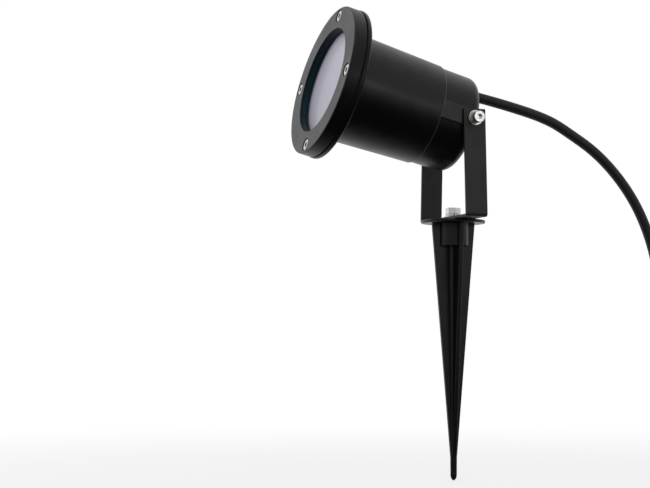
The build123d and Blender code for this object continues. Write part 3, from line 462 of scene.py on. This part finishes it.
def board(name):
    """White solder mask over an aluminium board, with faint copper tracks showing through."""
    mat = Surface(name)
    tracks = mat.node("ShaderNodeTexBrick", Vector=mat.head_mm(), Scale=0.28,
                      Mortar_Size=0.05).outputs["Fac"]
    base = mat.over((0.82, 0.83, 0.82), (0.58, 0.60, 0.56), tracks, amount=0.35)
    mat.set(Base_Color=base, Roughness=mat.ramp(mat.noise(mat.mm(), scale=1.0), to=(0.25, 0.4)))
    mat.bump(tracks, depth=-0.035, strength=0.6)
    return mat.data


def phosphor(name):
    """Yellow, slightly grainy coating of the LED chips."""
    mat = Surface(name)
    grain = mat.noise(mat.mm(), scale=1.4, detail=4.0)
    mat.set(Base_Color=mat.tones(grain, low=(0.80, 0.58, 0.07), high=(0.90, 0.72, 0.16)),
            Roughness=mat.ramp(grain, to=(0.25, 0.4)),
            Subsurface_Weight=0.2, Subsurface_Scale=0.001)
    mat.bump(grain, depth=0.02)
    return mat.data


# each finish and the pieces that wear it
FINISHES = [
    (powder_coat("satin_black_casting", tone=0.0012, rough=0.32, grain=1.0, edge_gain=0.25,
                 detail=barrel_step), "lamp_casing"),
    (powder_coat("satin_black_bezel", tone=0.0030, rough=0.36, grain=0.8, edge_gain=0.30,
                 detail=bezel_opening), "bezel_ring"),
    (strap_paint("black_strap_steel"), "yoke_bracket"),
    (moulded_plastic("spike_plastic", tone=0.0012, rough=0.33), "ground_spike"),
    (bright_metal("stainless_steel", tint=(0.92, 0.91, 0.89), rough=0.15,
                  brushed=(1.0, 0.25, 1.0), tarnish=(0.35, 0.33, 0.30), amount=0.30),
     "yoke_bolt tilt_screws bezel_screws"),
    (bright_metal("stainless_washer", tint=(0.74, 0.73, 0.70), rough=0.20,
                  brushed=(0.3, 1.2, 1.2), tarnish=(0.30, 0.28, 0.26), amount=0.30),
     "yoke_bolt_washer yoke_bolt_spring_washer tilt_flat_washers tilt_spring_washers"),
    (bright_metal("zinc_plated_steel", tint=(0.66, 0.68, 0.70), rough=0.30,
                  brushed=(1.0, 1.0, 0.3), tarnish=(0.50, 0.47, 0.34), amount=0.45),
     "holder_bracket bracket_screws holder_screws cable_clamp_screw earth_screw"),
    (bright_metal("brass", tint=(0.86, 0.66, 0.34), rough=0.24,
                  brushed=(1.0, 0.4, 1.0), tarnish=(0.36, 0.24, 0.10), amount=0.35),
     "spike_insert holder_contacts lamp_pins earth_terminal"),
    (bright_metal("copper", tint=(0.93, 0.53, 0.36), rough=0.22,
                  brushed=(1.0, 1.0, 0.4), tarnish=(0.40, 0.20, 0.12), amount=0.30),
     "bare_wire_ends"),
    (bright_metal("lamp_aluminium", tint=(0.80, 0.80, 0.81), rough=0.34,
                  brushed=(1.0, 1.0, 1.0), tarnish=(0.55, 0.55, 0.56), amount=0.20),
     "lamp_shell"),
    (rubber("cable_rubber", tone=0.0075), "cable_tail power_cable"),
    (rubber("grommet_rubber", tone=0.012), "cable_grommet"),
    (insulation("brown_insulation", tint=(0.20, 0.075, 0.035)), "brown_core_inner brown_core"),
    (insulation("blue_insulation", tint=(0.03, 0.16, 0.52)), "blue_core_inner blue_core"),
    (insulation("green_yellow_insulation", tint=(0.07, 0.34, 0.06), stripe=(0.80, 0.64, 0.04)),
     "earth_core"),
    (inner_earth("green_yellow_insulation_inside"), "earth_core_inner"),
    (frosted_glass("frosted_glass"), "front_glass"),
    (silicone("gasket_silicone", tint=(0.030, 0.042, 0.045), through=0.05), "glass_gasket"),
    (silicone("flange_gasket_rubber", tint=(0.018, 0.018, 0.019), through=0.0), "flange_gasket"),
    (ceramic("steatite"), "lamp_holder"),
    (white_moulding("clamp_plastic", tint=(0.70, 0.70, 0.67), rough=0.40), "cable_clamp"),
    (white_moulding("lamp_plastic", tint=(0.78, 0.78, 0.77), rough=0.30), "lamp_base"),
    (clear_lens("lamp_lens"), "lamp_lens"),
    (board("lamp_board"), "lamp_led_board"),
    (phosphor("led_phosphor"), "lamp_led_chips"),
]
finish_of = {piece: material for material, pieces in FINISHES for piece in pieces.split()}


def dress(piece, material):
    """Gives a CAD piece its finish and even, smooth shading with sharp creases kept."""
    mesh = piece.data
    mesh.materials.clear()
    mesh.materials.append(material)
    for face in mesh.polygons:
        face.material_index = 0
        face.use_smooth = True
    if "custom_normal" in mesh.attributes:
        mesh.attributes.remove(mesh.attributes["custom_normal"])
    mesh.set_sharp_from_angle(angle=math.radians(30.0))
    even = piece.modifiers.new("even_shading", "WEIGHTED_NORMAL")
    even.mode = "FACE_AREA"
    even.weight = 60
    even.keep_sharp = True


for name, piece in nodes.items():
    dress(piece, finish_of[name])


# ================================================================= curve tools
def step_count(length, step):
    return max(2, int(math.ceil(length / step)))


def spline(points, start_way, end_way, step):
    """Points along a smooth clamped curve through the given points, one every step or so."""
    points = np.array(points, float)
    spans = np.linalg.norm(np.diff(points, axis=0), axis=1)
    count = len(points)
    matrix = np.zeros((count, count))
    target = np.zeros((count, 3))
    matrix[0, 0] = matrix[-1, -1] = 1.0
    target[0] = np.array(start_way, float) / np.linalg.norm(start_way)
    target[-1] = np.array(end_way, float) / np.linalg.norm(end_way)
    for i in range(1, count - 1):
        before, after = spans[i - 1], spans[i]
        matrix[i, i - 1:i + 2] = after, 2 * (before + after), before
        target[i] = 3 * (after / before * (points[i] - points[i - 1])
                         + before / after * (points[i + 1] - points[i]))
    slopes = np.linalg.solve(matrix, target)
    curve = [points[0]]
    for i, span in enumerate(spans):
        steps = step_count(span, step)
        for j in range(1, steps + 1):
            t = j / steps
            curve.append(
                (2 * t**3 - 3 * t**2 + 1) * points[i]
                + (t**3 - 2 * t**2 + t) * span * slopes[i]
                + (-2 * t**3 + 3 * t**2) * points[i + 1]
                + (t**3 - t**2) * span * slopes[i + 1]
            )
    return np.array(curve)


def arc_chain(points, way, step):
    """Level tangent arcs through the points, starting along way; also gives the last direction."""
    curve = []
    heading = np.array(way, float)
    for start, end in zip(points[:-1], points[1:]):
        start = np.array(start, float)
        along = np.array(end, float) - start
        chord = np.linalg.norm(along)
        along /= chord
        side = np.array([-along[1], along[0], 0.0])
        bend = math.atan2(heading @ side, heading @ along)
        radius = chord / 2 / math.sin(bend)
        steps = step_count(chord, step)
        for j in range(1, steps + 1):
            angle = bend - 2 * bend * j / steps
            x = chord / 2 - radius * math.sin(angle)
            y = radius * (math.cos(angle) - math.cos(bend))
            curve.append(start + along * x + side * y)
        heading = 2 * (heading @ along) * along - heading
    return np.array(curve), heading


def frames_along(path):
    """Tangents and two side directions that don't twist along a path."""
    tangent = np.gradient(path, axis=0)
    tangent /= np.linalg.norm(tangent, axis=1)[:, None]
    side = np.zeros_like(tangent)
    previous = np.array([1.0, 0.0, 0.0])
    for i in range(len(path)):
        level = previous - tangent[i] * (previous @ tangent[i])
        side[i] = level / np.linalg.norm(level)
        previous = side[i]
    return tangent, side, np.cross(tangent, side)


def tube_faces(ring_count, sides):
    """Vertex numbers of the faces of a closed tube made of rings."""
    faces = []
    for i in range(ring_count - 1):
        here, after = i * sides, (i + 1) * sides
        for k in range(sides):
            k2 = (k + 1) % sides
            faces.append((here + k, here + k2, after + k2, after + k))
    faces.append(tuple(range(sides - 1, -1, -1)))
    last = (ring_count - 1) * sides
    faces.append(tuple(last + k for k in range(sides)))
    return faces


def smooth_object(mesh, material):
    """Puts a smooth-shaded mesh in the scene as an object of the same name."""
    for face in mesh.polygons:
        face.use_smooth = True
    mesh.set_sharp_from_angle(angle=math.radians(50.0))
    mesh.materials.append(material)
    made = bpy.data.objects.new(mesh.name, mesh)
    scene.collection.objects.link(made)
    return made


def tube(name, path, radius, sides, material, end_round, wobble=lambda length, angle: 0.0):
    """A closed tube along a path in metres, its ends rounded over by end_round.

    wobble gives the relative change in radius at a length and an angle round the tube.
    """
    tangent, side, across = frames_along(path)
    gaps = np.linalg.norm(np.diff(path, axis=0), axis=1)
    length = np.concatenate([[0.0], np.cumsum(gaps)])
    cap_steps = 4

    def cap_ring(end, inward, k):
        turn = math.pi / 2 * k / cap_steps
        centre = path[end] + inward * tangent[end] * (end_round * (1 - math.cos(turn)))
        return centre, end, radius - end_round * (1 - math.sin(turn))

    # rings are centre, path index and radius; path points inside the rounded ends are left out
    clear = end_round * 1.2
    rings = [cap_ring(0, 1, k) for k in range(cap_steps)]
    rings += [(path[i], i, radius) for i in range(len(path))
              if length[i] >= clear and length[-1] - length[i] >= clear]
    rings += [cap_ring(-1, -1, k) for k in reversed(range(cap_steps))]

    verts, along, around = [], [], []
    for centre, i, ring_radius in rings:
        for k in range(sides):
            angle = 2 * math.pi * k / sides
            reach = ring_radius * (1.0 + wobble(length[i], angle))
            spot = centre + side[i] * reach * math.cos(angle) + across[i] * reach * math.sin(angle)
            verts.append(tuple(spot))
            along.append(length[i] * 1000.0)
            around.append(k / sides)
    mesh = bpy.data.meshes.new(name)
    mesh.from_pydata(verts, [], tube_faces(len(rings), sides))
    mesh.update()
    for key, values in (("along", along), ("around", around)):
        attribute = mesh.attributes.new(key, "FLOAT", "POINT")
        attribute.data.foreach_set("value", np.array(values, np.float32))
    return smooth_object(mesh, material)


# ================================================================= the lead
# One sheath runs from inside the head to its stripped end on the ground.
CABLE_R = 3.2
LEAD_UP = 20.8                 # the lead's height over the head's axis
INNER_FRONT, EXIT_FRONT = 5.0, -5.8    # where its straight part starts and ends along the head
LEAD_Z = -152.45               # height of the lead's centre line on the ground
COIL_CENTRE = (30.0, 214.0)
COIL_R, COIL_PITCH = 65.0, 9.5         # the coil winds inwards by the pitch in each turn
COIL_TURN, COIL_STEP = 468, 52         # degrees
END_TURN_R, END_SWING = 20.0, 85.0     # tighter curl after the coil, and its degrees


def coil_frame(turn):
    """Coil radius at a turn in degrees, the way outwards and the way along."""
    angle = math.radians(turn - 90.0)
    out = (math.cos(angle), math.sin(angle))
    return COIL_R - COIL_PITCH * turn / 360.0, out, (-out[1], out[0])


def coil_point(turn):
    radius, out, _ = coil_frame(turn)
    return (COIL_CENTRE[0] + radius * out[0], COIL_CENTRE[1] + radius * out[1], LEAD_Z)


def curl_end():
    """Where the tighter curl after the coil ends."""
    radius, out, ahead = coil_frame(COIL_TURN)
    swing = math.radians(END_SWING)
    x, y = (
        COIL_CENTRE[i] + (radius - END_TURN_R) * out[i]
        + END_TURN_R * (math.cos(swing) * out[i] + math.sin(swing) * ahead[i])
        for i in range(2)
    )
    return (x, y, LEAD_Z)


lead_start = np.array(head_point(0, LEAD_UP, INNER_FRONT) * 1000)
lead_exit = np.array(head_point(0, LEAD_UP, EXIT_FRONT) * 1000)

# centre line stations, x y z: from the head's exit, then over and down to the coil
EXIT_RUN = [lead_exit, (0, 18.3, 78.0), (0, 30.2, 75.6), (0, 41.3, 73.1), (0, 51.8, 70.5)]
EXIT_RUN_WAY = (0, 0.9666, -0.2562)    # direction where the two runs meet
DROP_RUN = [
    EXIT_RUN[-1], (0, 60.8, 67.8), (0, 68.4, 64.9), (0, 79.3, 59.1), (0, 95.3, 49.3),
    (0, 112.0, 34.5), (0, 126.5, 15.5), (0, 138.0, -10.0), (0, 145.0, -45.0),
    (0, 148.0, -85.0), (1.0, 148.2, -118.0), (10.0, 148.8, -143.0), coil_point(0),
]
COIL_WAY = (1, 0, 0)

exit_run = spline(EXIT_RUN, (0, COS_TILT, -SIN_TILT), EXIT_RUN_WAY, step=1.4)
drop_run = spline(DROP_RUN, EXIT_RUN_WAY, COIL_WAY, step=2.0)
coil_stations = [coil_point(turn) for turn in range(0, COIL_TURN + 1, COIL_STEP)] + [curl_end()]
coil_run, end_way = arc_chain(coil_stations, COIL_WAY, step=2.2)
straight = np.linspace(lead_start, lead_exit, 14)
lead_path = np.vstack([straight, exit_run[1:], drop_run[1:], coil_run])


def core_lay(length, angle):
    """The three twisted cores show faintly through the sheath."""
    relief = 0.006
    twist = 0.105    # radians per millimetre
    return relief * math.sin(3 * angle - length * 1000.0 * twist) - relief


sheath = tube("power_lead_sheath", lead_path * MM, CABLE_R * MM, 40, finish_of["power_cable"],
              end_round=0.0004, wobble=core_lay)
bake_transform(sheath)
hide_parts("cable_tail", "power_cable")

# ================================================================= the stripped end
# Three cores fan out over the ground, each with a twist of bare copper.
CORE_R = 1.1
CORE_Z = LEAD_Z - CABLE_R + CORE_R + 0.05    # a core's centre line, just clear of the ground
CORE_INSIDE, CORE_MOUTH = -1.2, 0.6    # stations either side of the sheath's end
# each core's place in the sheath (across, up), then three stations (along, across)
FAN = {
    "brown": ((1.35, 0.9), (15.0, 4.2), (31.0, 8.6), (44.0, 13.6)),
    "blue": ((-1.35, 0.9), (15.0, -4.4), (30.0, -9.6), (42.0, -15.4)),
    "earth": ((0.0, -1.4), (16.0, -0.3), (32.0, -0.9), (47.0, -2.4)),
}
WIRE_R, WIRE_SIDES, WIRE_STEPS = 0.20, 10, 24
WIRE_START, WIRE_LENGTH = -1.2, 8.6    # wires start inside the insulation
WIRE_GAP = 0.03                        # shifts the wires outwards
WIRE_RING_R, WIRE_LAY = 0.425, 9.0     # six wires circle a middle one, a turn in each lay
OUTER_WIRES = 6

end_x, end_y, end_z = coil_run[-1]
ahead_x, ahead_y = end_way[0], end_way[1]


def end_point(along, across, z):
    """A point measured from the sheath's end, along it and to its left."""
    return (
        end_x + ahead_x * along - ahead_y * across,
        end_y + ahead_y * along + ahead_x * across,
        z,
    )


def wire_path(number, tip, way, cut_phase):
    """Centre line in metres of one bare wire; the last number is the middle wire."""
    side = np.array([-way[1], way[0], 0.0])
    up = np.array([0.0, 0.0, 1.0])
    cut = 0.10 * math.sin(number * 2.1 + cut_phase)    # wires end at slightly different lengths
    points = []
    for k in range(WIRE_STEPS + 1):
        along = WIRE_START + WIRE_LENGTH * k / WIRE_STEPS
        # the twist opens out beyond 5 mm, and a little more beyond 7 mm
        open_out = (1.0 + 0.10 * max(0.0, along - 5.0)) * (1.0 if along < 7.0 else 1.02)
        radius = 0.0 if number == OUTER_WIRES else WIRE_RING_R * open_out
        angle = 2 * math.pi * (number / OUTER_WIRES + along / WIRE_LAY)
        points.append(tip + way * (WIRE_GAP + along * (1.0 - 0.012 * cut))
                      + side * radius * math.cos(angle) + up * radius * math.sin(angle))
    return np.array(points) * MM


def add_wire(bm, path):
    _, side, across = frames_along(path)
    verts = []
    for i, centre in enumerate(path):
        for k in range(WIRE_SIDES):
            angle = 2 * math.pi * k / WIRE_SIDES
            out = side[i] * math.cos(angle) + across[i] * math.sin(angle)
            verts.append(bm.verts.new(tuple(centre + WIRE_R * MM * out)))
    for face in tube_faces(len(path), WIRE_SIDES):
        bm.faces.new([verts[i] for i in face])


def build_core(key, bm):
    """One insulated core; its bare wires go into bm."""
    (across, up), *stations = FAN[key]
    heights = ((end_z + up + CORE_Z) / 2, CORE_Z, CORE_Z)
    points = [end_point(along, across, end_z + up) for along in (CORE_INSIDE, CORE_MOUTH)]
    points += [end_point(*station, height) for station, height in zip(stations, heights)]
    tip = np.array(points[-1])
    way = tip - np.array(points[-2])
    way /= np.linalg.norm(way)
    path = spline(points, (ahead_x, ahead_y, 0), way, step=0.8)
    core = tube(f"{key}_core_insulation", path * MM, CORE_R * MM, 28, finish_of[f"{key}_core"],
                end_round=0.00018)
    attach(core, "yoke")
    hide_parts(f"{key}_core")
    cut_phase = 0 if key == "brown" else 1.7
    for number in range(OUTER_WIRES + 1):
        add_wire(bm, wire_path(number, tip, way, cut_phase))


strands = bmesh.new()
for key in FAN:
    build_core(key, strands)
strand_mesh = bpy.data.meshes.new("bare_copper_strands")
strands.to_mesh(strand_mesh)
strands.free()
bare = smooth_object(strand_mesh, finish_of["bare_wire_ends"])
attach(bare, "yoke")
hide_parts("bare_wire_ends")


# ================================================================= floor, camera, world and lights
# Lengths from here on are in metres.
def floor_material():
    """White to the camera; to other rays dim by the object and bright behind it and far off."""
    material = bpy.data.materials.new("white_sweep")
    material.use_nodes = True
    sweep = Nodes(material.node_tree)

    def diffuse(colour):
        return sweep.node("ShaderNodeBsdfDiffuse", Color=colour).outputs[0]

    def emission(strength):
        return sweep.node("ShaderNodeEmission", Color=(1, 1, 1), Strength=strength).outputs[0]

    place = sweep.coords()
    distance = sweep.node("ShaderNodeVectorMath", {"operation": "LENGTH"},
                          i0=place).outputs["Value"]
    # what the camera sees: paint that catches shadows near the object, pure white further out
    mottled = sweep.noise(place, scale=9.0, detail=2.0, rough=0.5)
    paint = diffuse(sweep.ramp(mottled, span=(0.0, 1.0), to=(0.84, 0.88)))
    fade = sweep.ramp(distance, span=(0.15, 0.75), to=(0.72, 1.0), smooth=True)
    shown = sweep.mix_shader(fade, paint, emission(1.0))
    # what lights the object: the floor beyond it, seen from the camera, is the brightest
    reach = sweep.ramp(distance, span=(0.25, 1.60), smooth=True)
    near = sweep.mix_shader(reach, diffuse((0.05, 0.05, 0.05)), emission(0.45))
    beyond = sweep.node("ShaderNodeVectorMath", {"operation": "DOT_PRODUCT"},
                        i0=place, i1=(-0.97, 0.24, 0.0)).outputs["Value"]
    behind = sweep.ramp(beyond, span=(-0.08, 0.28), smooth=True)
    room = sweep.mix_shader(behind, near, emission(0.85))
    to_camera = sweep.node("ShaderNodeLightPath").outputs["Is Camera Ray"]
    sweep.node("ShaderNodeOutputMaterial", Surface=sweep.mix_shader(to_camera, room, shown))
    return material


def build_floor():
    bm = bmesh.new()
    bmesh.ops.create_grid(bm, x_segments=24, y_segments=24, size=6.0)
    mesh = bpy.data.meshes.new("studio_floor")
    bm.to_mesh(mesh)
    bm.free()
    floor = bpy.data.objects.new("studio_floor", mesh)
    floor.location = (0.0, 0.0, FLOOR_Z - 0.0002)    # a hair under the spike's tip
    scene.collection.objects.link(floor)
    mesh.materials.append(floor_material())


def build_camera():
    """On the +X side, a little below the lamp, looking at its side and slightly up."""
    azimuth = math.radians(70.3240)    # from -Y towards +X
    elevation = math.radians(-3.4303)
    roll = math.radians(0.1481)
    back = Vector((
        math.sin(azimuth) * math.cos(elevation),
        -math.cos(azimuth) * math.cos(elevation),
        math.sin(elevation),
    ))
    level = Vector((math.cos(azimuth), math.sin(azimuth), 0.0))
    upright = back.cross(level)
    right = math.cos(roll) * level + math.sin(roll) * upright
    top = -math.sin(roll) * level + math.cos(roll) * upright
    data = bpy.data.cameras.new("camera")
    data.sensor_width = 36.0
    data.sensor_fit = "HORIZONTAL"
    data.lens = 94.231385
    data.clip_start = 0.01
    data.clip_end = 50.0
    camera = bpy.data.objects.new("camera", data)
    pose = Matrix((right, top, back)).transposed().to_4x4()
    pose.translation = Vector((0.949560, -0.422613, -0.074777))
    camera.matrix_world = pose
    scene.collection.objects.link(camera)
    scene.camera = camera


def build_world():
    """White to the camera; for lighting, a bright backdrop and a softer room on the +X side."""
    world = bpy.data.worlds.new("studio")
    scene.world = world
    world.use_nodes = True
    sky = Nodes(world.node_tree)

    def background(strength):
        return sky.node("ShaderNodeBackground", Color=(1, 1, 1), Strength=strength).outputs[0]

    x, _, z = sky.split(sky.node("ShaderNodeTexCoord").outputs["Generated"])
    front = sky.ramp(z, span=(-0.42, 0.22), to=(0.010, 0.54), smooth=True)
    side = sky.ramp(x, span=(-0.20, 0.35), smooth=True)
    backdrop = 0.80
    strength = sky.node("ShaderNodeMix", {"data_type": "FLOAT"},
                        i0=side, i2=backdrop, i3=front).outputs[0]
    to_camera = sky.node("ShaderNodeLightPath").outputs["Is Camera Ray"]
    shown = sky.mix_shader(to_camera, background(strength), background(1.0))
    sky.node("ShaderNodeOutputWorld", Surface=shown)


def soft_light(name, at, aim, size, power, tint=(1, 1, 1)):
    """A square area light, hidden from the camera."""
    data = bpy.data.lights.new(name, "AREA")
    data.shape = "RECTANGLE"
    data.size = size
    data.size_y = size
    data.energy = power
    data.color = tint
    light = bpy.data.objects.new(name, data)
    light.location = at
    light.rotation_mode = "QUATERNION"
    light.rotation_quaternion = (Vector(aim) - Vector(at)).to_track_quat("-Z", "Y")
    light.visible_camera = False
    scene.collection.objects.link(light)


build_floor()
build_camera()
build_world()
soft_light("top_softbox", at=(0.50, -0.22, 1.05), aim=(0.0, -0.02, 0.06), size=0.30, power=0.6)
soft_light("camera_side_fill", at=(1.346, 0.470, 0.175), aim=(0.0, 0.0, 0.06), size=0.20,
           power=0.30)
soft_light("bezel_softbox", at=(-0.70, -0.65, 0.60), aim=(0.0, -0.08, 0.08), size=0.30,
           power=0.30, tint=(0.97, 0.97, 1.0))

scene.view_settings.view_transform = "Standard"
scene.view_settings.look = "None"
